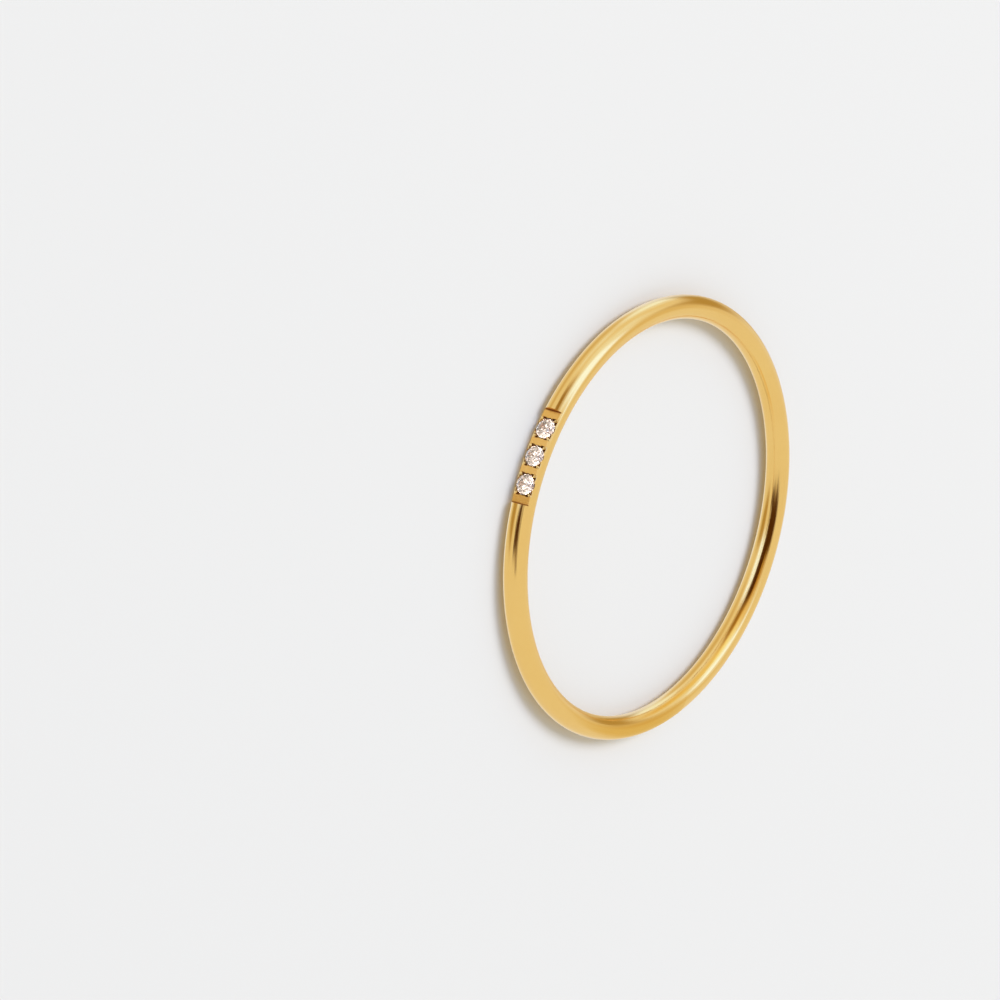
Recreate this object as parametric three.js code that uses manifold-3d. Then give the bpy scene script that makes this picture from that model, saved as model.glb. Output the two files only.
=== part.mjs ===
// A slim stackable ring: one gold wire bent to a full loop, with a shallow curved flat milled into
// its outer side and three small round brilliants set in line in that flat.
// Millimetres, +Z up. The ring lies on its side: its axis is +Z, its lower side is at z = 0 and
// the middle stone faces -Y. The origin is the middle of the finger hole, at the lower side.

import * as THREE from 'three'
import { ConvexGeometry } from 'three/addons/geometries/ConvexGeometry.js'
import { mergeVertices } from 'three/addons/utils/BufferGeometryUtils.js'
import Module from 'manifold-3d'

// The wire
const ringInnerDiameter = 16.9
const wireDiameter = 1.0

// The flat that is milled into the wire
const flatDepth = 0.23
const endLand = 0.39 // from the last girdle to the step at the end of the flat

// The stones
const stoneCount = 3
const stoneDiameter = 0.86
const stoneSpacing = 0.35 // metal between neighbouring girdles
const girdleDrop = 0.03 // the girdle's upper edge below the flat
const tableWidth = 0.57 // this and the next four are shares of the stone's diameter
const crownHeight = 0.15
const girdleHeight = 0.03
const pavilionHeight = 0.43
const lowerFacetInset = 0.115 // where the lower girdle facets end, from the stone's axis
const starLength = 0.5 // share of the way from the table's edge to the girdle

// The seat round each stone, and what is cut and raised at its four corners
const seatClearance = 0.02
const recessDepth = 0.13
const recessReach = 0.045 // how far a corner recess runs past the girdle along the wire
const recessOffset = 0.01 // the recess's slanted side, outside the girdle
const grainDiameter = 0.17
const grainOffset = 0.03 // from the girdle to the grain
const grainBearing = 40 // degrees from the wire's direction
const grainRise = 0.025 // the grain's top above the flat
const grainFoot = 0.06 // how deep the grain is rooted below the recess's floor

// How finely round shapes are cut into flats
const wireStations = 120
const wireSides = 24
const flatSteps = 14
const seatSides = 24
const grainSides = 8
const mergeTolerance = 1e-5

// Cutters run past the metal by this much
const cutMargin = 0.5

// Sizes that follow
const wireRadius = wireDiameter / 2
const centreRadius = ringInnerDiameter / 2 + wireRadius
const outerRadius = centreRadius + wireRadius
const flatRadius = outerRadius - flatDepth
const girdleLevel = flatRadius - girdleDrop
const stoneRadius = stoneDiameter / 2
const stonePitch = stoneDiameter + stoneSpacing
const settingLength = (stoneCount - 1) * stonePitch + stoneDiameter + 2 * endLand
const cutTop = girdleDrop + flatDepth + cutMargin
const middleBearing = -Math.PI / 2

const wasm = await Module()
wasm.setup()

function toSolid(geometry) {
  const bare = geometry.clone()
  bare.deleteAttribute('normal')
  bare.deleteAttribute('uv')
  const merged = mergeVertices(bare, mergeTolerance)
  return new wasm.Manifold(new wasm.Mesh({
    numProp: 3,
    vertProperties: new Float32Array(merged.attributes.position.array),
    triVerts: new Uint32Array(merged.index.array)
  }))
}

function toGeometry(solid) {
  const mesh = solid.getMesh()
  const shared = new THREE.BufferGeometry()
  shared.setAttribute('position', new THREE.BufferAttribute(mesh.vertProperties, mesh.numProp))
  shared.setIndex(new THREE.BufferAttribute(mesh.triVerts, 1))
  const faceted = shared.toNonIndexed()
  faceted.computeVertexNormals()
  return faceted
}

// Bearing of stone number i round the ring's axis, counted from 0.
function stoneBearing(i) {
  const along = (i - (stoneCount - 1) / 2) * stonePitch
  return middleBearing + along / girdleLevel
}

// Puts a shape or a mesh that is drawn upright at a stone's place on the ring: its +Y points
// straight out of the ring, its y = 0 is the girdle's upper edge and its x runs along the wire.
function seatMatrix(bearing) {
  const turn = new THREE.Matrix4().makeRotationZ(bearing - Math.PI / 2)
  const place = new THREE.Vector3(
    girdleLevel * Math.cos(bearing),
    girdleLevel * Math.sin(bearing),
    wireRadius
  )
  return turn.setPosition(place)
}

// The full loop of wire. Its section is a polygon with flats exactly at the bottom, the top, the
// inside and the outside, so that the inner diameter and the height are the stated ones.
function wireLoop() {
  const cornerRadius = wireRadius / Math.cos(Math.PI / wireSides)
  const profile = []
  for (let i = 0; i <= wireSides; i++) {
    const angle = (i + 0.5) / wireSides * 2 * Math.PI
    profile.push(new THREE.Vector2(
      centreRadius + cornerRadius * Math.cos(angle),
      wireRadius + cornerRadius * Math.sin(angle)
    ))
  }
  return new THREE.LatheGeometry(profile, wireStations).rotateX(Math.PI / 2)
}

// What the milling takes away: everything outside the flat's radius, between the two end steps.
function flatCutter() {
  const halfAngle = settingLength / 2 / flatRadius
  const start = middleBearing - halfAngle
  const end = middleBearing + halfAngle
  const outline = new THREE.Shape()
  outline.absarc(0, 0, flatRadius, start, end, false)
  outline.absarc(0, 0, outerRadius + cutMargin, end, start, true)
  const depth = wireDiameter + 2 * cutMargin
  const cutter = new THREE.ExtrudeGeometry(outline, {
    depth,
    curveSegments: flatSteps,
    bevelEnabled: false
  })
  return cutter.translate(0, 0, -cutMargin)
}

// The drilled seat: a cone that follows the pavilion and a straight wall past the girdle.
function seatCutter() {
  const slope = pavilionHeight * stoneDiameter / stoneRadius
  const drop = seatClearance * Math.hypot(1, slope)
  const bottom = -(girdleHeight + pavilionHeight) * stoneDiameter - drop
  const seatRadius = stoneRadius + seatClearance
  const profile = [
    new THREE.Vector2(0, bottom),
    new THREE.Vector2(seatRadius, bottom + seatRadius * slope),
    new THREE.Vector2(seatRadius, cutTop),
    new THREE.Vector2(0, cutTop)
  ]
  return new THREE.LatheGeometry(profile, seatSides)
}

// One corner recess: a triangle between the girdle, the bar and the wire's side, open to the side.
function recessCutter(alongSign, acrossSign) {
  const reach = stoneRadius + recessReach
  const slantSum = (stoneRadius + recessOffset) * Math.SQRT2
  const far = wireRadius + cutMargin
  const outline = new THREE.Shape([
    new THREE.Vector2(alongSign * reach, acrossSign * (slantSum - reach)),
    new THREE.Vector2(alongSign * reach, acrossSign * far),
    new THREE.Vector2(alongSign * (slantSum - far), acrossSign * far)
  ])
  const floor = girdleDrop - recessDepth
  const cutter = new THREE.ExtrudeGeometry(outline, { depth: cutTop - floor, bevelEnabled: false })
  return cutter.rotateX(-Math.PI / 2).translate(0, floor, 0)
}

// One grain: a short round post with a domed head, which stands in its corner recess.
function grainPost(alongSign, acrossSign) {
  const radius = grainDiameter / 2
  const top = girdleDrop + grainRise
  const shoulder = top - radius
  const bevel = radius * Math.SQRT1_2
  const profile = [
    new THREE.Vector2(0, girdleDrop - recessDepth - grainFoot),
    new THREE.Vector2(radius, girdleDrop - recessDepth - grainFoot),
    new THREE.Vector2(radius, shoulder),
    new THREE.Vector2(bevel, shoulder + bevel),
    new THREE.Vector2(0, top)
  ]
  const distance = stoneRadius + grainOffset + radius
  const bearing = THREE.MathUtils.degToRad(grainBearing)
  const along = alongSign * distance * Math.cos(bearing)
  const across = acrossSign * distance * Math.sin(bearing)
  return new THREE.LatheGeometry(profile, grainSides).translate(along, 0, across)
}

// The whole band is one piece of metal: the wire, less the flat, the seats and the corner
// recesses, with the grains left standing in them.
function bandGeometry() {
  let band = toSolid(wireLoop()).subtract(toSolid(flatCutter()))
  for (let i = 0; i < stoneCount; i++) {
    const place = seatMatrix(stoneBearing(i))
    band = band.subtract(toSolid(seatCutter().applyMatrix4(place)))
    for (const alongSign of [-1, 1]) {
      for (const acrossSign of [-1, 1]) {
        const recess = recessCutter(alongSign, acrossSign).applyMatrix4(place)
        const grain = grainPost(alongSign, acrossSign).applyMatrix4(place)
        band = band.subtract(toSolid(recess)).add(toSolid(grain))
      }
    }
  }
  return toGeometry(band)
}

// A round brilliant with its table up and its girdle's upper edge at y = 0. The crown has a table,
// 8 stars, 8 kites and 16 upper girdle facets, and the pavilion 16 lower girdle facets and
// 8 mains. Each ring of corners lies where the kites and the mains come out flat.
function brilliantGeometry() {
  const tableRadius = tableWidth * stoneRadius
  const crown = crownHeight * stoneDiameter
  const girdle = girdleHeight * stoneDiameter
  const pavilion = pavilionHeight * stoneDiameter
  const halfFacet = Math.PI / 8
  const tableEdge = tableRadius * Math.cos(halfFacet)
  const starRadius = tableEdge + starLength * (stoneRadius - tableEdge)
  const starInward = stoneRadius - starRadius * Math.cos(halfFacet)
  const starHeight = starInward * crown / (stoneRadius - tableRadius)
  const lowerRadius = lowerFacetInset * stoneDiameter
  const lowerInward = stoneRadius - lowerRadius * Math.cos(halfFacet)
  const lowerHeight = -girdle - lowerInward * pavilion / stoneRadius
  const rings = [
    { radius: tableRadius, height: crown, count: 8, turn: 0 },
    { radius: starRadius, height: starHeight, count: 8, turn: halfFacet },
    { radius: stoneRadius, height: 0, count: 16, turn: 0 },
    { radius: stoneRadius, height: -girdle, count: 16, turn: 0 },
    { radius: lowerRadius, height: lowerHeight, count: 8, turn: halfFacet },
    { radius: 0, height: -girdle - pavilion, count: 1, turn: 0 }
  ]
  const corners = rings.flatMap(({ radius, height, count, turn }) =>
    Array.from({ length: count }, (_, i) => {
      const angle = turn + i / count * 2 * Math.PI
      return new THREE.Vector3(radius * Math.cos(angle), height, radius * Math.sin(angle))
    }))
  return new ConvexGeometry(corners)
}

const gold = new THREE.MeshStandardMaterial({ color: 0xe3b65f, roughness: 0.22, metalness: 1 })

const ring = new THREE.Group()

const band = new THREE.Mesh(bandGeometry(), gold)
band.name = 'band'
ring.add(band)

for (let i = 0; i < stoneCount; i++) {
  const clear = new THREE.MeshStandardMaterial({ color: 0xf2f0f4, roughness: 0.03, metalness: 0 })
  const stone = new THREE.Mesh(brilliantGeometry(), clear)
  stone.name = `stone_${i + 1}`
  stone.applyMatrix4(seatMatrix(stoneBearing(i)))
  ring.add(stone)
}

export default ring
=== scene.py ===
"""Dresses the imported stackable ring: a finely shaped gold band with its milled setting, three
clear cut stones, and a pale studio seen by a long lens. Sizes are in metres, in the part's own
frame: the ring lies on z = 0 with its axis along +Z, and the setting faces -Y."""

import math

import bpy
import numpy as np
from bpy.props import FloatProperty, FloatVectorProperty, PointerProperty
from mathutils import Matrix, Vector


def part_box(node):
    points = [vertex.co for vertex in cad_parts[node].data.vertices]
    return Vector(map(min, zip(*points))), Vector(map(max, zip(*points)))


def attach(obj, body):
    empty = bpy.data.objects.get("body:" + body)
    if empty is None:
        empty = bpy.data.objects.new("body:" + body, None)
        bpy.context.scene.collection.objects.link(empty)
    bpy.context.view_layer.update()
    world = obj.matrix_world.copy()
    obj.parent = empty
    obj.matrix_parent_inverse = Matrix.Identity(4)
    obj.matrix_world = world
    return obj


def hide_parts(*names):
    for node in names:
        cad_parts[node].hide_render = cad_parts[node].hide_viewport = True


bl_info = {
    "name": "Stackable Ring",
    "version": (1, 0, 0),
    "blender": (4, 5, 0),
    "location": "3D View > Sidebar > Ring",
    "description": "Shapes the gold band, finishes the stones and sets up the studio",
    "category": "Object",
}

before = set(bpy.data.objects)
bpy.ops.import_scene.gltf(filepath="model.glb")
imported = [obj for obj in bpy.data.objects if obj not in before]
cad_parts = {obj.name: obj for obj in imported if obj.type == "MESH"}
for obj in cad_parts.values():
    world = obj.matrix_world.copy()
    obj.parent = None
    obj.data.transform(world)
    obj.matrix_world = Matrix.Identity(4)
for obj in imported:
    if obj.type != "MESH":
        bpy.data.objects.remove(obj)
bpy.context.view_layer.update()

# Sizes that the frame gives
MM = 0.001
BAND_LOW, BAND_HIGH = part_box("band")
WIRE_RADIUS = (BAND_HIGH.z - BAND_LOW.z) / 2
CENTRE_RADIUS = BAND_HIGH.x - WIRE_RADIUS
STONE_NODES = sorted(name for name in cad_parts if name.startswith("stone_"))
FIRST_STONE_LOW, FIRST_STONE_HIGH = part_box(STONE_NODES[0])
STONE_RADIUS = (FIRST_STONE_HIGH.z - FIRST_STONE_LOW.z) / 2

# The stones' proportions below the girdle's upper edge, as shares of their diameter
GIRDLE_SHARE = 0.03
PAVILION_SHARE = 0.43

# How many lines the band and the grains are drawn with, and how much closer those round the wire
# lie on its outer side
SETTING_LINES = 420
PLAIN_LINES = 200
SECTION_LINES = 132
SECTION_GRADING = 0.62
GRAIN_RINGS = 12
GRAIN_SIDES = 28

# The first lines past each end step, by their distance from it
STEP_MARGINS = np.array([0.01, 0.03, 0.07, 0.14]) * MM

# Grid points that lie within this share of a cell of a seat's rim are moved onto it
SNAP_SHARE = 0.6

# The smallest cosine of an angle round the wire that counts as its outer side
OUTER_SIDE = 1e-9

# Widths over which the setting's fine edges turn, and the angle past which shading is sharp
STEP_WIDTH = 0.004 * MM
RIM_WIDTH = 0.003 * MM
BAR_WALL_WIDTH = 0.006 * MM
SLANT_RAMP_WIDTH = 0.03 * MM
EDGE_ROUNDING = 0.012 * MM
SHARP_ANGLE = math.radians(35)

# A recess's floor is level out to this share of the stone's radius, and rises from there by this
# share of its depth at the wire's side
RECESS_LEVEL_SHARE = 0.6
RECESS_RUN_OUT = 0.85

# How far a grain's upper half leans toward its stone, as a share of the height there
GRAIN_LEAN = 0.45

# Painted shade: how fully the recesses and seats take the shaded gold, and its reach from an end step
RECESS_SHADE = 0.75
SEAT_SHADE = 1.0
STEP_SHADE_WIDTH = 0.07 * MM

# Smudges: the scale of their patches on each finish, per metre, their contrast on the polished
# gold, how much finer the flecks in them are, and the flecks' share
GOLD_PATCHES = 320.0
MILLING_PATCHES = 3500.0
GRAIN_PATCHES = 9000.0
STONE_PATCHES = 2500.0
GOLD_CONTRAST = 1.4
FLECK_FINENESS = 14.0
FLECK_SHARE = 0.35

# What is left of each channel of a colour where it is smudged
SMUDGED_GOLD = (0.97, 0.93, 0.86)
SMUDGED_GRAIN = (0.96, 0.9, 0.8)
SMUDGED_STONE = (0.97, 0.97, 0.97)

# Roughness of the polished gold and of the grains, and what each kind of mark adds
GOLD_ROUGHNESS = 0.09
SMUDGE_ROUGHNESS = 0.04
LINE_ROUGHNESS = 0.03
MILLED_ROUGHNESS = 0.14
HOLLOW_ROUGHNESS = 0.12
GRAIN_ROUGHNESS = 0.16
GRAIN_MARK_ROUGHNESS = 0.12
STONE_MARK_ROUGHNESS = 0.03

# Polishing lines: their scale across the wire, per metre, and along it as a share of that
POLISH_LINES = 12000.0
POLISH_DRIFT = 0.012

# Relief of the polishing lines, of the milling marks as a multiple of it, and of the grains
POLISH_RELIEF = 0.009 * MM
POLISH_STRENGTH = 0.8
MILLING_WAVES = 1.2
GRAIN_RELIEF = 0.006 * MM
GRAIN_STRENGTH = 0.4

# How strongly the stones bend light, how clear they are, and the tint of their gloss
STONE_IOR = 2.16
STONE_CLEARNESS = 0.86
STONE_GLOSS_TINT = (1.0, 0.84, 0.60)

# How the surround looks through a stone: its lightness to this power, in this tint, with this many
# times its strength added
STONE_SOFTENING = 0.6
STONE_TINT = (1.0, 0.82, 0.69)
STONE_GLINT = 4.0

# The camera: where it looks from, its roll about its own axis and the point it looks at
LENS_MM = 244.728
SENSOR_MM = 36.0
VIEW_BEARING = math.radians(7.162)
VIEW_ELEVATION = math.radians(35.732)
VIEW_ROLL = math.radians(105.563)
VIEW_DISTANCE = 273.208 * MM
VIEW_AIM = Vector((2.254, -10.377, 0.5)) * MM
NEAREST_SEEN = 0.01
FARTHEST_SEEN = 10.0

# The lamp: the way toward it, how far off and how wide it is, and its power in watts
LAMP_TOWARD = Vector((-0.55, 0.15, 0.82)).normalized()
LAMP_DISTANCE = 1.2
LAMP_WIDTH = 0.6
LAMP_POWER = 7.4

# The floor: half its width, and how rough it is
FLOOR_HALF = 0.4
FLOOR_ROUGHNESS = 0.9

# Colours of the surround, and of the panels and flags in it
SURROUND = (0.90, 0.90, 0.84)
BRIGHT = (1.13, 1.60, 3.0)
CLEAR = (1.05, 1.38, 2.1)
LIGHT = (0.96, 1.10, 1.35)
HAZE = (0.81, 0.73, 0.51)
DIM = (0.74, 0.64, 0.42)
AMBER = (0.60, 0.41, 0.13)
DUSK = (0.52, 0.39, 0.15)
UMBER = (0.38, 0.24, 0.06)
DARK = (0.085, 0.032, 0.002)

# The soft light panels and dark flags round the ring, by bearing from -Y toward +X and height
# above the floor, in degrees. Half is half its width and height, the tilt turns a panel about its
# middle, and the edge is the share of its size over which it fades. A later one covers an earlier.
PANELS = (
    {"name": "top bank", "at": (-91, 56), "half": (43, 13), "tilt": -14, "edge": 0.45,
     "colour": BRIGHT},
    {"name": "top bank flank", "at": (-85, 34), "half": (29, 11), "tilt": -10, "edge": 0.6,
     "colour": LIGHT},
    {"name": "low left bank", "at": (-113, -22), "half": (28, 14), "tilt": 40, "edge": 0.5,
     "colour": CLEAR},
    {"name": "left flag", "at": (-134, 4), "half": (11, 32), "tilt": 10, "edge": 0.6,
     "colour": DUSK},
    {"name": "high left flag", "at": (-150, 42), "half": (13, 12), "tilt": 0, "edge": 0.7,
     "colour": HAZE},
    {"name": "low far flag", "at": (-152, -20), "half": (10, 14), "tilt": 0, "edge": 0.6,
     "colour": DIM},
    {"name": "low flag", "at": (-60, -42), "half": (46, 14), "tilt": -8, "edge": 0.7,
     "colour": DIM},
    {"name": "right low flag", "at": (25, -45), "half": (16, 21), "tilt": 0, "edge": 0.5,
     "colour": DUSK},
    {"name": "front flag rim", "at": (6, 46), "half": (34, 26), "tilt": 0, "edge": 0.35,
     "colour": AMBER},
    {"name": "front flag side", "at": (-34, 20), "half": (12, 15), "tilt": 25, "edge": 0.6,
     "colour": UMBER},
    {"name": "front flag", "at": (8, 33), "half": (33, 19), "tilt": 3, "edge": 0.22,
     "colour": DARK},
    {"name": "front flag top", "at": (27, 58), "half": (24, 16), "tilt": 0, "edge": 0.28,
     "colour": DARK},
    {"name": "front flag foot", "at": (29, 11), "half": (11, 9), "tilt": 0, "edge": 0.4,
     "colour": DARK},
    {"name": "front card", "at": (-3.5, -5), "half": (18, 15), "tilt": 0, "edge": 0.35,
     "colour": BRIGHT},
    {"name": "side card", "at": (-64, -4), "half": (14, 9), "tilt": 0, "edge": 0.5,
     "colour": LIGHT},
    {"name": "low back bank", "at": (178, -72), "half": (38, 15), "tilt": 0, "edge": 0.4,
     "colour": LIGHT},
)

# The small card near the setting: its middle and the point that it faces, in millimetres, with half
# its width and height, and the heights above the floor between which it brightens
NEAR_CARD = {"name": "near_card", "middle": (4.8, -11.0, 4.7), "faces": (3.2, -8.9, 0.8),
             "half": (2.8, 2.35)}
CARD_FADE = (3.4 * MM, 4.3 * MM)

# Sheets of amber gel near two stretches of the ring, in the same terms, and the tint in their
# middle. The tint's mask is a soft panel with this half size and edge, where a sheet reaches to 1.
GELS = (
    {"name": "far_end_gel", "middle": (8.5, 5.8, 2.3), "faces": (8.3, 1.9, 1.0),
     "half": (3.4, 4.0), "tint": (0.90, 0.79, 0.47)},
    {"name": "back_gel", "middle": (0.9, 6.2, 3.35), "faces": (3.6, 7.7, 0.8),
     "half": (2.4, 2.4), "tint": (0.97, 0.78, 0.38)},
)
GEL_MASK_HALF = 0.6
GEL_MASK_EDGE = 0.65

# Corners of a sheet, on its UV map
SHEET_CORNERS = ((0, 0), (1, 0), (1, 1), (0, 1))


class BandSizes(bpy.types.PropertyGroup):
    """Sizes of the milled setting in the band's outer side."""

    flat_depth: FloatProperty(
        name="Flat depth", description="How deep the flat lies below the wire's crest",
        default=0.23 * MM, unit="LENGTH", precision=6)
    end_land: FloatProperty(
        name="End land", description="From the last girdle to the step at the end of the flat",
        default=0.39 * MM, unit="LENGTH", precision=6)
    seat_clearance: FloatProperty(
        name="Seat clearance", description="Between a stone and the wall of its seat",
        default=0.026 * MM, unit="LENGTH", precision=6)
    recess_depth: FloatProperty(
        name="Recess depth", description="How deep the corner recesses lie below the flat",
        default=0.13 * MM, unit="LENGTH", precision=6)
    recess_reach: FloatProperty(
        name="Recess reach", description="How far a corner recess runs past the girdle",
        default=0.045 * MM, unit="LENGTH", precision=6)
    recess_offset: FloatProperty(
        name="Recess offset", description="From the girdle to a recess's slanted side",
        default=0.01 * MM, unit="LENGTH", precision=6)
    grain_length: FloatProperty(
        name="Grain length", description="Size of a grain toward its stone",
        default=0.20 * MM, unit="LENGTH", precision=6)
    grain_width: FloatProperty(
        name="Grain width", description="Size of a grain across that",
        default=0.13 * MM, unit="LENGTH", precision=6)
    grain_height: FloatProperty(
        name="Grain height", description="From a grain's root to its top",
        default=0.17 * MM, unit="LENGTH", precision=6)
    grain_offset: FloatProperty(
        name="Grain offset", description="From the girdle to the side of a grain",
        default=0.015 * MM, unit="LENGTH", precision=6)
    grain_bearing: FloatProperty(
        name="Grain bearing", description="Turn of a grain from the wire's direction",
        default=math.radians(40), subtype="ANGLE")
    grain_rise: FloatProperty(
        name="Grain rise", description="How far a grain stands above the flat",
        default=0.025 * MM, unit="LENGTH", precision=6)


class FinishColours(bpy.types.PropertyGroup):
    """Colours of the gold, the stones and the floor."""

    gold: FloatVectorProperty(
        name="Gold", description="Polished gold", default=(0.895, 0.602, 0.216),
        size=3, min=0, max=1, subtype="COLOR")
    milled_gold: FloatVectorProperty(
        name="Milled gold", description="Satin gold of the milled flat",
        default=(0.89, 0.53, 0.155), size=3, min=0, max=1, subtype="COLOR")
    # Painted shade: this dark gold stands in for the shade in the recesses and seats and along the
    # end steps
    painted_shade_gold: FloatVectorProperty(
        name="Hollow gold", description="Gold in the recesses and seats, which polish doesn't reach",
        default=(0.29, 0.072, 0.002), size=3, min=0, max=1, subtype="COLOR")
    # Painted highlight: a lighter copy of the band's gold, so that the grains look lit
    grain_gold_with_painted_highlight: FloatVectorProperty(
        name="Grain gold", description="Burnished gold of the grains",
        default=(0.96, 0.66, 0.24), size=3, min=0, max=1, subtype="COLOR")
    stone: FloatVectorProperty(
        name="Stone", description="Body colour of the stones", default=(1.0, 0.94, 0.91),
        size=3, min=0, max=1, subtype="COLOR")
    floor: FloatVectorProperty(
        name="Floor", description="Plain pale floor", default=(0.745, 0.73, 0.69),
        size=3, min=0, max=1, subtype="COLOR")


def stone_places():
    """Bearing of each stone and the distance of its girdle's upper edge from the ring's axis,
    both read from its culet, which is its corner nearest to that axis."""
    below_girdle = (GIRDLE_SHARE + PAVILION_SHARE) * 2 * STONE_RADIUS
    places = []
    for name in STONE_NODES:
        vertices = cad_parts[name].data.vertices
        culet = min((v.co for v in vertices), key=lambda co: math.hypot(co.x, co.y))
        level = math.hypot(culet.x, culet.y) + below_girdle
        places.append((math.atan2(culet.y, culet.x), level))
    return places


def middle_bearing():
    """Bearing of the middle stone."""
    places = stone_places()
    return places[len(places) // 2][0]


def smooth_step(value, width):
    """Rises from 0 at value 0 to 1 at value width, with level ends: t * t * (3 - 2 * t)."""
    t = np.clip(value / width, 0, 1)
    return t * t * (3 - 2 * t)


def soft_minimum(first, second, width):
    """The smaller of two heights, with the edge where they cross rounded over the width."""
    share = np.clip(0.5 + 0.5 * (second - first) / width, 0, 1)
    return second + (first - second) * share - width * share * (1 - share)


def setting_half_angle(sizes):
    """Half the angle that the flat spans: the last stone, its radius and the end land, over the
    flat's radius."""
    places = stone_places()
    last_stone = (places[-1][0] - places[0][0]) / 2 * places[-1][1]
    flat_radius = CENTRE_RADIUS + WIRE_RADIUS - sizes.flat_depth
    return (last_stone + STONE_RADIUS + sizes.end_land) / flat_radius


def band_bearings(sizes):
    """Bearings of the section lines: close and even over the setting, with a crisp pair of lines
    at each end step and at both sides of each bar, a few widening gaps past the steps, and even
    again round the rest of the loop."""
    middle = middle_bearing()
    half_angle = setting_half_angle(sizes)
    step = STEP_WIDTH / CENTRE_RADIUS
    even = middle + np.linspace(-half_angle + step, half_angle - step, SETTING_LINES)
    reach = STONE_RADIUS + sizes.recess_reach
    walls = []
    for bearing, level in stone_places():
        for distance in (reach, reach - BAR_WALL_WIDTH):
            walls += [bearing - distance / level, bearing + distance / level]
    inside = np.sort(np.concatenate([even, walls]))
    margins = middle + half_angle + STEP_MARGINS / CENTRE_RADIUS
    mirrored = 2 * middle + 2 * math.pi
    rest = np.linspace(margins[-1], mirrored - margins[-1], PLAIN_LINES)
    first = np.array([middle + half_angle, *margins[:-1]])
    last = mirrored - first[::-1]
    return np.concatenate([inside, first, rest, last])


def section_angles():
    """Angles of the lines round the wire, 0 facing out of the ring and 90 degrees up. They are
    even steps t less the grading times sin(t), so that they lie close on the outer side, which
    carries the setting, and widen evenly toward the inner side."""
    t = np.linspace(-math.pi, math.pi, SECTION_LINES, endpoint=False)
    return t - SECTION_GRADING * np.sin(t)


def snap_to_rim(along, across, rim):
    """Moves the grid points that lie near the seat's round rim straight toward or away from the
    stone's axis, onto the rim's inner or outer side, so that the rim is round. Near is within a
    share of a cell of the grid, measured that way."""
    from_axis = np.hypot(along, across)
    line_gap = np.abs(np.gradient(along, axis=0))
    side_gap = np.abs(np.gradient(across, axis=1))
    toward_line = np.abs(along) / np.maximum(from_axis, RIM_WIDTH)
    toward_side = np.abs(across) / np.maximum(from_axis, RIM_WIDTH)
    reach = (toward_line * line_gap + toward_side * side_gap) * SNAP_SHARE
    side = np.where(from_axis < rim, -1, 1)
    near = np.abs(from_axis - rim) < reach
    target = np.where(near, rim + side * RIM_WIDTH / 2, from_axis)
    scale = target / np.maximum(from_axis, RIM_WIDTH / 2)
    return along * scale, across * scale


def seat_height(from_axis, level, sizes):
    """Height of the seat over the wire's centre line: a cone that falls with the pavilion's slope
    toward the stone's axis, inside the rim only."""
    slope = 2 * PAVILION_SHARE
    rim = STONE_RADIUS + sizes.seat_clearance
    drop = sizes.seat_clearance * math.hypot(1, slope)
    bottom = level - CENTRE_RADIUS - (GIRDLE_SHARE + PAVILION_SHARE) * 2 * STONE_RADIUS - drop
    return np.where(from_axis < rim, bottom + from_axis * slope, WIRE_RADIUS)


def recess_depth(along, across, sizes):
    """Depth of the corner recesses below the flat: triangles between the bar across the wire and
    a slant that clears the girdle. Their floor rises toward the wire's open side by the share
    that comes second."""
    to_bar = (STONE_RADIUS + sizes.recess_reach - np.abs(along)) / BAR_WALL_WIDTH
    slant = (np.abs(along) + np.abs(across)) / math.sqrt(2)
    to_slant = (slant - STONE_RADIUS - sizes.recess_offset) / SLANT_RAMP_WIDTH + 0.5
    inside = smooth_step(np.minimum(to_bar, to_slant), 1)
    level_end = STONE_RADIUS * RECESS_LEVEL_SHARE
    run_out = smooth_step(np.abs(across) - level_end, WIRE_RADIUS - level_end)
    return sizes.recess_depth * inside * (1 - RECESS_RUN_OUT * run_out), run_out


def band_grid(sizes):
    """The grid of bearings round the ring and angles round the wire that the band is shaped on.
    For each point it gives the bearing, the place across the wire, 1 on the wire's outer side
    and -1 on its inner side, the turn from the middle stone, and whether it is in the setting.
    The place across is the wire's radius times the sine of the angle. Points near the rim of a
    seat are moved onto it."""
    bearing, angle = np.meshgrid(band_bearings(sizes), section_angles(), indexing="ij")
    across = WIRE_RADIUS * np.sin(angle)
    outer_side = np.cos(angle) > OUTER_SIDE
    turn = np.abs((bearing - middle_bearing() + math.pi) % (2 * math.pi) - math.pi)
    half_step = STEP_WIDTH / CENTRE_RADIUS / 2
    in_setting = (turn < setting_half_angle(sizes) - half_step) & outer_side
    rim = STONE_RADIUS + sizes.seat_clearance
    for stone_bearing, level in stone_places():
        along = level * np.sin(bearing - stone_bearing)
        beside = in_setting & (np.abs(along) < rim + 2 * sizes.recess_reach)
        new_along, new_across = snap_to_rim(along, across, rim)
        bearing = np.where(beside, stone_bearing + np.arcsin(new_along / level * beside), bearing)
        across = np.where(beside, new_across, across)
    return bearing, across, np.where(outer_side, 1, -1), turn, in_setting


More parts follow.
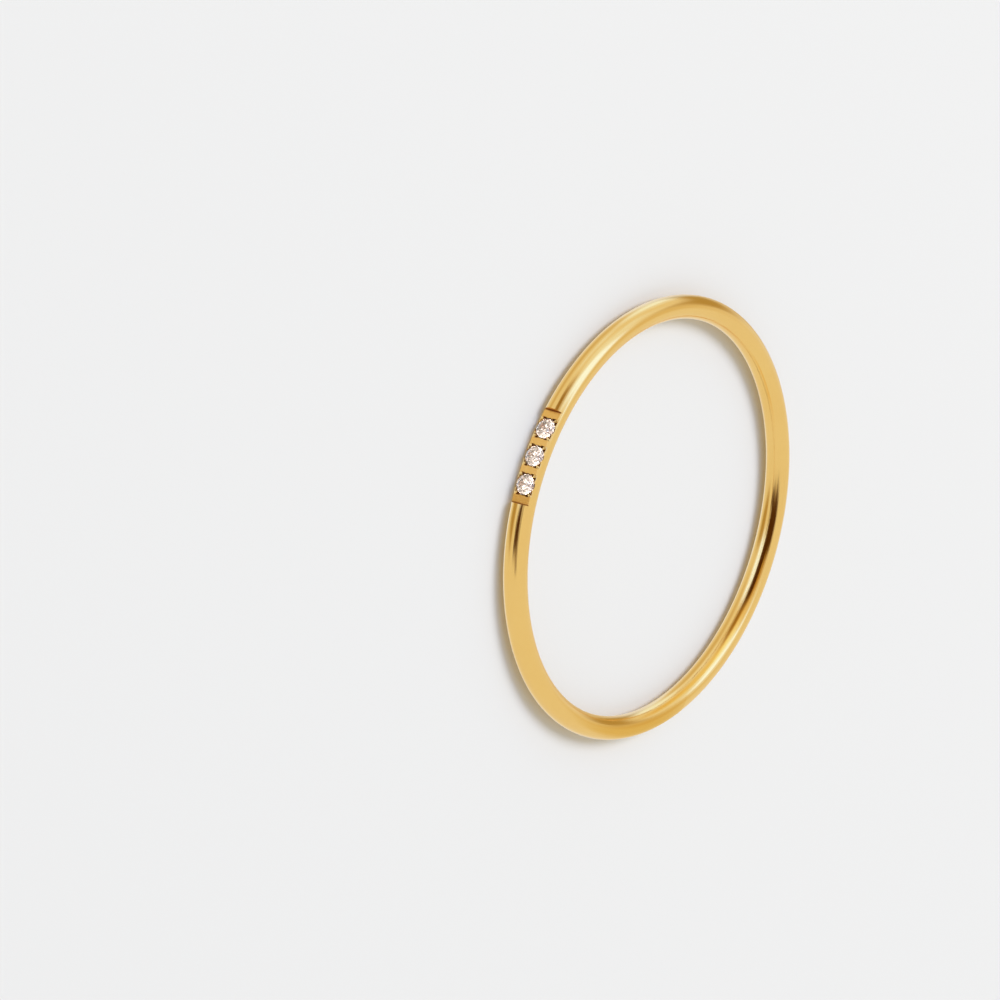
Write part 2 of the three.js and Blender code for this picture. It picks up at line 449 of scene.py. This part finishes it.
def band_surface(sizes):
    """Points of the band on its grid, with two masks. A point stands off the wire's centre line
    by a height outward and by its place across the wire up. On the plain wire the height is that
    of a circle over this place. Over the setting it is the lowest of the wire, the flat, the
    corner recesses and the seats. The masks are the share that is milled and the painted shade:
    darker with depth in the recesses and seats, less toward the wire's open side, and in a strip
    along each end step."""
    bearing, across, side, turn, in_setting = band_grid(sizes)
    flat = WIRE_RADIUS - sizes.flat_depth
    round_height = side * np.sqrt(np.clip(WIRE_RADIUS**2 - across**2, 0, None))
    top = soft_minimum(round_height, flat, EDGE_ROUNDING)
    height = top
    open_share = np.zeros(top.shape)
    in_seat = np.zeros(top.shape, bool)
    for stone_bearing, level in stone_places():
        along = level * np.sin(bearing - stone_bearing)
        beside = np.abs(along) < STONE_RADIUS + 2 * sizes.recess_reach
        depth, run_out = recess_depth(along, across, sizes)
        open_share = np.where(beside, run_out, open_share)
        height = np.where(beside, np.minimum(height, flat - depth), height)
        seat = seat_height(np.hypot(along, across), level, sizes)
        in_seat |= beside & (seat < height)
        height = np.where(beside, np.minimum(height, seat), height)

    milled = np.where(in_setting & (round_height > flat - EDGE_ROUNDING), 1.0, 0.0)
    lowered = np.clip((top - height) / sizes.recess_depth, 0, 1)
    shade = np.where(in_seat, SEAT_SHADE, RECESS_SHADE)
    from_step = np.abs(turn - setting_half_angle(sizes)) * CENTRE_RADIUS
    at_step = 1 - smooth_step(from_step, STEP_SHADE_WIDTH)
    # Painted shade: darker with depth in the recesses and seats, less toward the open side, and along
    # each end step
    painted_shade = np.maximum(lowered * in_setting * (1 - open_share) * shade, at_step * milled)

    distance = CENTRE_RADIUS + np.where(in_setting, height, round_height)
    points = np.stack([
        distance * np.cos(bearing),
        distance * np.sin(bearing),
        WIRE_RADIUS + across,
    ], axis=-1)
    return points, milled, painted_shade


def grain_points(stone_bearing, along_sign, across_sign, sizes):
    """Points of one grain: an egg that is longer toward its stone and leans over it. A ring of it
    lies at a polar angle: its half sizes are those of the grain times the sine of that angle, its
    height is the half height times the cosine, and its upper half is shifted toward the stone by
    a share of that height. The two poles come last."""
    half_height = sizes.grain_height / 2
    reach = STONE_RADIUS + sizes.grain_offset + sizes.grain_length / 2
    away = np.array([along_sign * math.cos(sizes.grain_bearing),
                     across_sign * math.sin(sizes.grain_bearing)])
    beside = np.array([-away[1], away[0]])
    polar = np.linspace(0, math.pi, GRAIN_RINGS + 2)[1:-1, None]
    around = np.linspace(0, 2 * math.pi, GRAIN_SIDES, endpoint=False)[None, :]
    outward = sizes.grain_length / 2 * np.sin(polar) * np.cos(around)
    sideways = sizes.grain_width / 2 * np.sin(polar) * np.sin(around)
    rise = half_height * np.cos(polar) + 0 * around
    outward = np.concatenate([outward.ravel(), [0, 0]])
    sideways = np.concatenate([sideways.ravel(), [0, 0]])
    rise = np.concatenate([rise.ravel(), [half_height, -half_height]])
    outward = reach + outward - np.clip(rise, 0, None) * GRAIN_LEAN
    along = away[0] * outward + beside[0] * sideways
    across = away[1] * outward + beside[1] * sideways
    top = CENTRE_RADIUS + WIRE_RADIUS - sizes.flat_depth + sizes.grain_rise
    out = top - half_height + rise
    cosine = math.cos(stone_bearing)
    sine = math.sin(stone_bearing)
    return np.stack([
        out * cosine - along * sine,
        out * sine + along * cosine,
        WIRE_RADIUS + across,
    ], axis=-1)


def grain_faces():
    """Corners of one grain's faces: quads between its rings and a fan round each pole."""
    row, column = np.meshgrid(np.arange(GRAIN_RINGS - 1), np.arange(GRAIN_SIDES), indexing="ij")
    next_column = (column + 1) % GRAIN_SIDES
    quads = np.stack([
        row * GRAIN_SIDES + column,
        (row + 1) * GRAIN_SIDES + column,
        (row + 1) * GRAIN_SIDES + next_column,
        row * GRAIN_SIDES + next_column,
    ], axis=-1).reshape(-1, 4)
    around = np.arange(GRAIN_SIDES)
    beside = (around + 1) % GRAIN_SIDES
    last_row = (GRAIN_RINGS - 1) * GRAIN_SIDES
    top = np.full(GRAIN_SIDES, GRAIN_RINGS * GRAIN_SIDES)
    top_fan = np.stack([around, beside, top], axis=-1)
    bottom_fan = np.stack([last_row + beside, last_row + around, top + 1], axis=-1)
    return quads.tolist() + top_fan.tolist() + bottom_fan.tolist()


def closed_grid_faces(rows, columns):
    """Corners of the quads of a grid that closes on itself both ways, turned to face outwards."""
    row, column = np.meshgrid(np.arange(rows), np.arange(columns), indexing="ij")
    next_row = (row + 1) % rows
    next_column = (column + 1) % columns
    corners = np.stack([
        row * columns + column,
        next_row * columns + column,
        next_row * columns + next_column,
        row * columns + next_column,
    ], axis=-1)
    return corners.reshape(-1, 4).tolist()


def new_surface(name, points, faces):
    """A mesh with smooth shading, from its points and the corners of its faces."""
    mesh = bpy.data.meshes.new(name)
    mesh.from_pydata(points.tolist(), [], faces)
    mesh.polygons.foreach_set("use_smooth", np.ones(len(mesh.polygons), bool))
    return mesh


def add_attribute(mesh, name, values, kind="FLOAT", field="value"):
    """Keeps a number or a vector for each vertex, for the materials to read."""
    attribute = mesh.attributes.new(name, kind, "POINT")
    attribute.data.foreach_set(field, values.astype(np.float32).ravel())


def add_object(name, data):
    """Puts a mesh, a lamp or a camera into the scene as an object."""
    made = bpy.data.objects.new(name, data)
    bpy.context.scene.collection.objects.link(made)
    return made


def new_material(name):
    """A new material, with its node tree and its shader."""
    material = bpy.data.materials.new(name)
    material.use_nodes = True
    tree = material.node_tree
    return material, tree, tree.nodes["Principled BSDF"]


def fill_socket(tree, socket, value):
    """Gives an input socket a link, an opaque colour or a plain value."""
    if isinstance(value, bpy.types.NodeSocket):
        tree.links.new(value, socket)
    elif socket.type == "RGBA":
        socket.default_value = (*value, 1.0)
    else:
        socket.default_value = value


def fill_inputs(tree, node, inputs):
    """Fills a node's inputs, given by name or number."""
    for name, value in inputs.items():
        fill_socket(tree, node.inputs[name], value)


def new_node(tree, kind, inputs=None, **settings):
    """Adds a node, sets its fields and fills its inputs."""
    made = tree.nodes.new(kind)
    for name, value in settings.items():
        setattr(made, name, value)
    fill_inputs(tree, made, inputs or {})
    return made


def maths(tree, operation, first, second=0.0, third=0.0, clamp=False):
    """One Math node, which returns its output."""
    inputs = {0: first, 1: second, 2: third}
    return new_node(tree, "ShaderNodeMath", inputs, operation=operation, use_clamp=clamp).outputs[0]


def mix_colours(tree, share, first, second):
    """Blends two colours by a share, and returns the output."""
    inputs = {0: share, 6: first, 7: second}
    return new_node(tree, "ShaderNodeMix", inputs, data_type="RGBA").outputs[2]


def smudged(colour, shares):
    """A colour with each channel times its share."""
    return tuple(channel * share for channel, share in zip(colour, shares))


def new_group(name, inputs, outputs):
    """An empty shader node group with float or vector sockets, and its two end nodes."""
    group = bpy.data.node_groups.new(name, "ShaderNodeTree")
    for socket_name, kind, default in inputs:
        socket = group.interface.new_socket(socket_name, in_out="INPUT", socket_type=kind)
        if default is not None:
            socket.default_value = default
    for socket_name, kind in outputs:
        group.interface.new_socket(socket_name, in_out="OUTPUT", socket_type=kind)
    return group, group.nodes.new("NodeGroupInput"), group.nodes.new("NodeGroupOutput")


def smudge_group():
    """Faint uneven wear from handling: broad soft patches with finer flecks in them."""
    name = "handling smudges"
    if name in bpy.data.node_groups:
        return bpy.data.node_groups[name]
    group, given, result = new_group(
        name,
        [("Vector", "NodeSocketVector", None), ("Patch Scale", "NodeSocketFloat", GOLD_PATCHES),
         ("Contrast", "NodeSocketFloat", 1.0)],
        [("Mask", "NodeSocketFloat")])
    patches = new_node(group, "ShaderNodeTexNoise", {
        "Vector": given.outputs["Vector"], "Scale": given.outputs["Patch Scale"],
        "Detail": 3.0, "Roughness": 0.55})
    flecks = new_node(group, "ShaderNodeTexNoise", {
        "Vector": given.outputs["Vector"],
        "Scale": maths(group, "MULTIPLY", given.outputs["Patch Scale"], FLECK_FINENESS),
        "Detail": 2.0, "Roughness": 0.6})
    mean = 0.5
    both = maths(group, "MULTIPLY_ADD", flecks.outputs["Fac"], FLECK_SHARE, patches.outputs["Fac"])
    centred = maths(group, "SUBTRACT", both, mean * (1 + FLECK_SHARE))
    scaled = maths(group, "MULTIPLY", centred, given.outputs["Contrast"])
    group.links.new(maths(group, "ADD", scaled, mean, clamp=True), result.inputs["Mask"])
    return group


def smudge_mask(tree, place, patches, contrast=1.0):
    """The smudges on a finish, with patches of this scale."""
    smudges = new_node(tree, "ShaderNodeGroup", {
        "Vector": place, "Patch Scale": patches, "Contrast": contrast}, node_tree=smudge_group())
    return smudges.outputs["Mask"]


def polish_line_group():
    """Fine lines that a buffing wheel leaves along the wire: noise on the place in the wire's
    section, which changes only slowly along the wire."""
    name = "polishing lines"
    if name in bpy.data.node_groups:
        return bpy.data.node_groups[name]
    group, given, result = new_group(
        name,
        [("Section", "NodeSocketVector", None), ("Place", "NodeSocketVector", None),
         ("Line Scale", "NodeSocketFloat", POLISH_LINES), ("Drift", "NodeSocketFloat", POLISH_DRIFT)],
        [("Height", "NodeSocketFloat")])
    slow = new_node(group, "ShaderNodeVectorMath", {
        0: given.outputs["Place"], "Scale": given.outputs["Drift"]}, operation="SCALE")
    vector = new_node(group, "ShaderNodeVectorMath", {
        0: slow.outputs[0], 1: given.outputs["Section"]}, operation="ADD")
    lines = new_node(group, "ShaderNodeTexNoise", {
        "Vector": vector.outputs[0], "Scale": given.outputs["Line Scale"],
        "Detail": 3.0, "Roughness": 0.65})
    group.links.new(lines.outputs["Fac"], result.inputs["Height"])
    return group


def gold_material(colours):
    """Polished yellow gold: soft even gloss with faint smudges and lines along the wire, satin on
    the milled flat, and duller and darker with painted shade in the recesses, seats and end steps."""
    material, tree, shader = new_material("polished_gold")
    place = new_node(tree, "ShaderNodeTexCoord").outputs["Object"]
    milled = new_node(tree, "ShaderNodeAttribute", attribute_name="milled").outputs["Fac"]
    painted_shade = new_node(tree, "ShaderNodeAttribute", attribute_name="painted_shade").outputs["Fac"]
    section = new_node(tree, "ShaderNodeAttribute", attribute_name="section").outputs["Vector"]
    mask = smudge_mask(tree, place, GOLD_PATCHES, GOLD_CONTRAST)
    lines = new_node(tree, "ShaderNodeGroup", {"Place": place, "Section": section},
                     node_tree=polish_line_group()).outputs["Height"]

    polished = mix_colours(tree, mask, colours.gold, smudged(colours.gold, SMUDGED_GOLD))
    satin = mix_colours(tree, milled, polished, colours.milled_gold)
    # Painted shade: the dark gold is blended in where the mask puts shade
    colour = mix_colours(tree, painted_shade, satin, colours.painted_shade_gold)

    gloss = maths(tree, "MULTIPLY_ADD", mask, SMUDGE_ROUGHNESS, GOLD_ROUGHNESS)
    with_lines = maths(tree, "MULTIPLY_ADD", lines, LINE_ROUGHNESS, gloss)
    with_satin = maths(tree, "MULTIPLY_ADD", milled, MILLED_ROUGHNESS, with_lines)
    rough = maths(tree, "MULTIPLY_ADD", painted_shade, HOLLOW_ROUGHNESS, with_satin)

    waves = maths(tree, "MULTIPLY", smudge_mask(tree, place, MILLING_PATCHES), milled)
    relief = maths(tree, "MULTIPLY_ADD", waves, MILLING_WAVES, lines)
    bump = new_node(tree, "ShaderNodeBump", {
        "Height": relief, "Strength": POLISH_STRENGTH, "Distance": POLISH_RELIEF})
    fill_inputs(tree, shader, {
        "Base Color": colour, "Roughness": rough, "Metallic": 1.0, "Normal": bump.outputs["Normal"]})
    return material


def grain_material(colours):
    """Gold of the grains: rounded and burnished by the setting tool, with fine uneven marks, and
    painted lighter than the band's gold as a highlight.
    """
    material, tree, shader = new_material("burnished_gold_with_painted_highlight")
    place = new_node(tree, "ShaderNodeTexCoord").outputs["Object"]
    mask = smudge_mask(tree, place, GRAIN_PATCHES)
    # Painted highlight: the grains take a gold lighter than the band's
    plain = colours.grain_gold_with_painted_highlight
    colour = mix_colours(tree, mask, plain, smudged(plain, SMUDGED_GRAIN))
    rough = maths(tree, "MULTIPLY_ADD", mask, GRAIN_MARK_ROUGHNESS, GRAIN_ROUGHNESS)
    bump = new_node(tree, "ShaderNodeBump", {
        "Height": mask, "Strength": GRAIN_STRENGTH, "Distance": GRAIN_RELIEF})
    fill_inputs(tree, shader, {
        "Base Color": colour, "Roughness": rough, "Metallic": 1.0, "Normal": bump.outputs["Normal"]})
    return material


def stone_material(colours):
    """Clear cut stone: strongly bending and mirror-smooth, with a trace of wiping marks."""
    material, tree, shader = new_material("clear_stone")
    place = new_node(tree, "ShaderNodeTexCoord").outputs["Object"]
    mask = smudge_mask(tree, place, STONE_PATCHES)
    colour = mix_colours(tree, mask, colours.stone, smudged(colours.stone, SMUDGED_STONE))
    fill_inputs(tree, shader, {
        "Base Color": colour, "Roughness": maths(tree, "MULTIPLY", mask, STONE_MARK_ROUGHNESS),
        "IOR": STONE_IOR, "Transmission Weight": STONE_CLEARNESS, "Specular Tint": STONE_GLOSS_TINT})
    return material


def panel_group():
    """Mask of one soft box-shaped panel, seen from the ring: 1 inside it and 0 outside. The offset
    from its middle is turned by its tilt and divided by its half sizes, each part fades from 1 to
    0 over the edge, and the mask is the product of the two."""
    name = "soft panel"
    if name in bpy.data.node_groups:
        return bpy.data.node_groups[name]
    group, given, result = new_group(
        name,
        [("Bearing", "NodeSocketFloat", 0.0), ("Height", "NodeSocketFloat", 0.0),
         ("Middle Bearing", "NodeSocketFloat", 0.0), ("Middle Height", "NodeSocketFloat", 0.0),
         ("Half Width", "NodeSocketFloat", 10.0), ("Half Height", "NodeSocketFloat", 10.0),
         ("Tilt", "NodeSocketFloat", 0.0), ("Edge", "NodeSocketFloat", 0.5)],
        [("Mask", "NodeSocketFloat")])
    half_turn = 180.0
    offset = maths(group, "SUBTRACT", given.outputs["Bearing"], given.outputs["Middle Bearing"])
    sideways = maths(group, "WRAP", offset, half_turn, -half_turn)
    upward = maths(group, "SUBTRACT", given.outputs["Height"], given.outputs["Middle Height"])
    cosine = maths(group, "COSINE", given.outputs["Tilt"])
    sine = maths(group, "SINE", given.outputs["Tilt"])
    along = maths(group, "MULTIPLY_ADD", upward, sine, maths(group, "MULTIPLY", sideways, cosine))
    lean = maths(group, "MULTIPLY", sideways, sine)
    across = maths(group, "SUBTRACT", maths(group, "MULTIPLY", upward, cosine), lean)
    start = maths(group, "SUBTRACT", 1.0, given.outputs["Edge"])
    end = maths(group, "ADD", 1.0, given.outputs["Edge"])
    fades = []
    for part, size in ((along, "Half Width"), (across, "Half Height")):
        share = maths(group, "DIVIDE", maths(group, "ABSOLUTE", part), given.outputs[size])
        fade = new_node(group, "ShaderNodeMapRange", {
            "Value": share, "From Min": start, "From Max": end, "To Min": 1.0, "To Max": 0.0},
            interpolation_type="SMOOTHSTEP")
        fades.append(fade.outputs["Result"])
    group.links.new(maths(group, "MULTIPLY", *fades), result.inputs["Mask"])
    return group


def studio_world():
    """An even pale surround with the soft panels and dark flags laid over it one by one."""
    world = bpy.data.worlds.new("studio")
    bpy.context.scene.world = world
    world.use_nodes = True
    tree = world.node_tree
    direction = new_node(tree, "ShaderNodeTexCoord").outputs["Generated"]
    parts = new_node(tree, "ShaderNodeSeparateXYZ", {"Vector": direction}).outputs
    to_degrees = 180 / math.pi
    forward = maths(tree, "MULTIPLY", parts["Y"], -1.0)
    turn = maths(tree, "ARCTAN2", parts["X"], forward)
    bearing = maths(tree, "MULTIPLY", turn, to_degrees)
    height = maths(tree, "MULTIPLY", maths(tree, "ARCSINE", parts["Z"]), to_degrees)
    colour = SURROUND
    for panel in PANELS:
        mask = new_node(tree, "ShaderNodeGroup", {
            "Bearing": bearing, "Height": height,
            "Middle Bearing": panel["at"][0], "Middle Height": panel["at"][1],
            "Half Width": panel["half"][0], "Half Height": panel["half"][1],
            "Tilt": math.radians(panel["tilt"]), "Edge": panel["edge"],
        }, node_tree=panel_group(), label=panel["name"])
        colour = mix_colours(tree, mask.outputs["Mask"], colour, panel["colour"])
    through_stone = new_node(tree, "ShaderNodeLightPath").outputs["Is Transmission Ray"]
    grey = new_node(tree, "ShaderNodeRGBToBW", {"Color": colour}).outputs["Val"]
    soft = maths(tree, "POWER", grey, STONE_SOFTENING)
    tinted = new_node(tree, "ShaderNodeVectorMath", {0: STONE_TINT, "Scale": soft}, operation="SCALE")
    fill_inputs(tree, tree.nodes["Background"], {
        "Color": mix_colours(tree, through_stone, colour, tinted.outputs[0]),
        "Strength": maths(tree, "MULTIPLY_ADD", through_stone, STONE_GLINT, 1.0)})


def add_floor(colours):
    """A plain pale floor under the ring, kept out of the gold's reflections."""
    mesh = bpy.data.meshes.new("floor")
    corners = [((2 * x - 1) * FLOOR_HALF, (2 * y - 1) * FLOOR_HALF, 0) for x, y in SHEET_CORNERS]
    mesh.from_pydata(corners, [], [(0, 1, 2, 3)])
    material, tree, shader = new_material("pale_floor")
    fill_inputs(tree, shader, {
        "Base Color": colours.floor, "Roughness": FLOOR_ROUGHNESS, "Specular IOR Level": 0.0})
    mesh.materials.append(material)
    floor = add_object("floor", mesh)
    floor.visible_glossy = False


def card_material():
    """Card that glows by itself: as pale as the surround, and dark below its fade. It shortens
    the front flag's reflection beside the setting and leaves it long in the far inner side."""
    material, tree, shader = new_material("lit_card")
    place = new_node(tree, "ShaderNodeTexCoord").outputs["Object"]
    height = new_node(tree, "ShaderNodeSeparateXYZ", {"Vector": place}).outputs["Z"]
    low, high = CARD_FADE
    fade = new_node(tree, "ShaderNodeMapRange", {
        "Value": height, "From Min": low, "From Max": high}, interpolation_type="SMOOTHSTEP")
    glow = mix_colours(tree, fade.outputs["Result"], DARK, SURROUND)
    fill_inputs(tree, shader, {
        "Base Color": (0, 0, 0), "Specular IOR Level": 0.0,
        "Emission Color": glow, "Emission Strength": 1.0})
    return material


def gel_material(gel):
    """Clear film that tints what is seen through it, and fades to clear toward its edges."""
    material, tree, shader = new_material(gel["name"])
    tree.nodes.remove(shader)
    place = new_node(tree, "ShaderNodeUVMap", uv_map="sheet").outputs["UV"]
    parts = new_node(tree, "ShaderNodeSeparateXYZ", {"Vector": place}).outputs
    mask = new_node(tree, "ShaderNodeGroup", {
        "Bearing": maths(tree, "MULTIPLY_ADD", parts["X"], 2.0, -1.0),
        "Height": maths(tree, "MULTIPLY_ADD", parts["Y"], 2.0, -1.0),
        "Half Width": GEL_MASK_HALF, "Half Height": GEL_MASK_HALF, "Edge": GEL_MASK_EDGE,
    }, node_tree=panel_group()).outputs["Mask"]
    colour = mix_colours(tree, mask, (1.0, 1.0, 1.0), gel["tint"])
    film = new_node(tree, "ShaderNodeBsdfTransparent", {"Color": colour})
    tree.links.new(film.outputs["BSDF"], tree.nodes["Material Output"].inputs["Surface"])
    return material


def add_sheet(sheet, material):
    """One flat sheet of the lighting, close to the ring. It faces a point, and shows only in
    reflections."""
    mesh = bpy.data.meshes.new(sheet["name"])
    middle = Vector(sheet["middle"]) * MM
    facing = (Vector(sheet["faces"]) * MM - middle).to_track_quat("Z", "Y").to_matrix()
    wide, high = sheet["half"]
    offsets = [Vector(((2 * x - 1) * wide, (2 * y - 1) * high, 0)) * MM for x, y in SHEET_CORNERS]
    mesh.from_pydata([middle + facing @ offset for offset in offsets], [], [(0, 1, 2, 3)])
    mesh.uv_layers.new(name="sheet").data.foreach_set("uv", np.array(SHEET_CORNERS, float).ravel())
    mesh.materials.append(material)
    made = add_object(sheet["name"], mesh)
    made.visible_camera = False
    made.visible_diffuse = False
    made.visible_transmission = False
    made.visible_shadow = False


def add_key_light():
    """A soft lamp above the back of the ring, for the shadow on the floor alone."""
    lamp = bpy.data.lights.new("key", "AREA")
    lamp.shape = "DISK"
    lamp.size = LAMP_WIDTH
    lamp.energy = LAMP_POWER
    key = add_object("key", lamp)
    key.location = LAMP_TOWARD * LAMP_DISTANCE
    key.rotation_euler = LAMP_TOWARD.to_track_quat("Z", "Y").to_euler()
    key.visible_glossy = False


def add_camera():
    """A long lens at the photograph's angle to the ring, rolled about its own axis."""
    camera = bpy.data.cameras.new("camera")
    camera.lens = LENS_MM
    camera.sensor_width = SENSOR_MM
    camera.clip_start = NEAREST_SEEN
    camera.clip_end = FARTHEST_SEEN
    seen_by = add_object("camera", camera)
    backward = Vector((
        math.sin(VIEW_BEARING) * math.cos(VIEW_ELEVATION),
        -math.cos(VIEW_BEARING) * math.cos(VIEW_ELEVATION),
        math.sin(VIEW_ELEVATION),
    ))
    turn = backward.to_track_quat("Z", "Y").to_matrix().to_4x4()
    roll = Matrix.Rotation(VIEW_ROLL, 4, "Z")
    place = Matrix.Translation(VIEW_AIM + backward * VIEW_DISTANCE)
    seen_by.matrix_world = place @ turn @ roll
    bpy.context.scene.camera = seen_by


class RING_OT_shape_band(bpy.types.Operator):
    """Shape the gold band with its milled setting"""

    bl_idname = "ring.shape_band"
    bl_label = "Shape Band"

    def execute(self, context):
        points, milled, painted_shade = band_surface(context.scene.ring_sizes)
        rows, columns = points.shape[:2]
        faces = closed_grid_faces(rows, columns)
        mesh = new_surface("gold_band", points.reshape(-1, 3), faces)
        mesh.set_sharp_from_angle(angle=SHARP_ANGLE)
        angle = np.broadcast_to(section_angles()[None, :], (rows, columns))
        section = np.stack([np.cos(angle), np.sin(angle), 0 * angle], axis=-1) * WIRE_RADIUS
        add_attribute(mesh, "milled", milled)
        # The painted shade mask, for the gold's material to darken the recesses, seats and end steps
        add_attribute(mesh, "painted_shade", painted_shade)
        add_attribute(mesh, "section", section, "FLOAT_VECTOR", "vector")
        mesh.materials.append(gold_material(context.scene.ring_colours))
        band = add_object("gold_band", mesh)
        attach(band, "root")
        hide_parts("band")
        return {"FINISHED"}


class RING_OT_raise_grains(bpy.types.Operator):
    """Raise the small grains that hold the stones at their corners"""

    bl_idname = "ring.raise_grains"
    bl_label = "Raise Grains"

    def execute(self, context):
        sizes = context.scene.ring_sizes
        points = []
        faces = []
        for stone_bearing, _ in stone_places():
            for along_sign in (-1, 1):
                for across_sign in (-1, 1):
                    start = len(points) * (GRAIN_RINGS * GRAIN_SIDES + 2)
                    points.append(grain_points(stone_bearing, along_sign, across_sign, sizes))
                    faces += [[start + corner for corner in face] for face in grain_faces()]
        mesh = new_surface("gold_grains", np.concatenate(points), faces)
        mesh.materials.append(grain_material(context.scene.ring_colours))
        grains = add_object("gold_grains", mesh)
        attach(grains, "root")
        return {"FINISHED"}


class RING_OT_finish_stones(bpy.types.Operator):
    """Give the cut stones their clear finish"""

    bl_idname = "ring.finish_stones"
    bl_label = "Finish Stones"

    def execute(self, context):
        material = stone_material(context.scene.ring_colours)
        for name in STONE_NODES:
            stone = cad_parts[name]
            stone.data.materials.clear()
            stone.data.materials.append(material)
        return {"FINISHED"}


class RING_OT_set_stage(bpy.types.Operator):
    """Set up the floor, the surround, the lamp and the camera"""

    bl_idname = "ring.set_stage"
    bl_label = "Set Stage"

    def execute(self, context):
        studio_world()
        add_floor(context.scene.ring_colours)
        add_sheet(NEAR_CARD, card_material())
        for gel in GELS:
            add_sheet(gel, gel_material(gel))
        add_key_light()
        add_camera()
        context.scene.view_settings.view_transform = "Standard"
        return {"FINISHED"}


class RING_PT_panel(bpy.types.Panel):
    """Lists the ring's sizes, colours and steps in the sidebar."""

    bl_label = "Stackable Ring"
    bl_idname = "RING_PT_panel"
    bl_space_type = "VIEW_3D"
    bl_region_type = "UI"
    bl_category = "Ring"

    def draw(self, context):
        for group in (context.scene.ring_sizes, context.scene.ring_colours):
            for name in group.__annotations__:
                self.layout.prop(group, name)
        for step in STEPS:
            self.layout.operator(step.bl_idname)


STEPS = (RING_OT_shape_band, RING_OT_raise_grains, RING_OT_finish_stones, RING_OT_set_stage)
CLASSES = (BandSizes, FinishColours, *STEPS, RING_PT_panel)


def register():
    for item in CLASSES:
        bpy.utils.register_class(item)
    bpy.types.Scene.ring_sizes = PointerProperty(type=BandSizes)
    bpy.types.Scene.ring_colours = PointerProperty(type=FinishColours)


def unregister():
    del bpy.types.Scene.ring_colours
    del bpy.types.Scene.ring_sizes
    for item in reversed(CLASSES):
        bpy.utils.unregister_class(item)


def main():
    """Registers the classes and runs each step."""
    register()
    bpy.ops.ring.shape_band()
    bpy.ops.ring.raise_grains()
    bpy.ops.ring.finish_stones()
    bpy.ops.ring.set_stage()


if __name__ == "__main__":
    main()
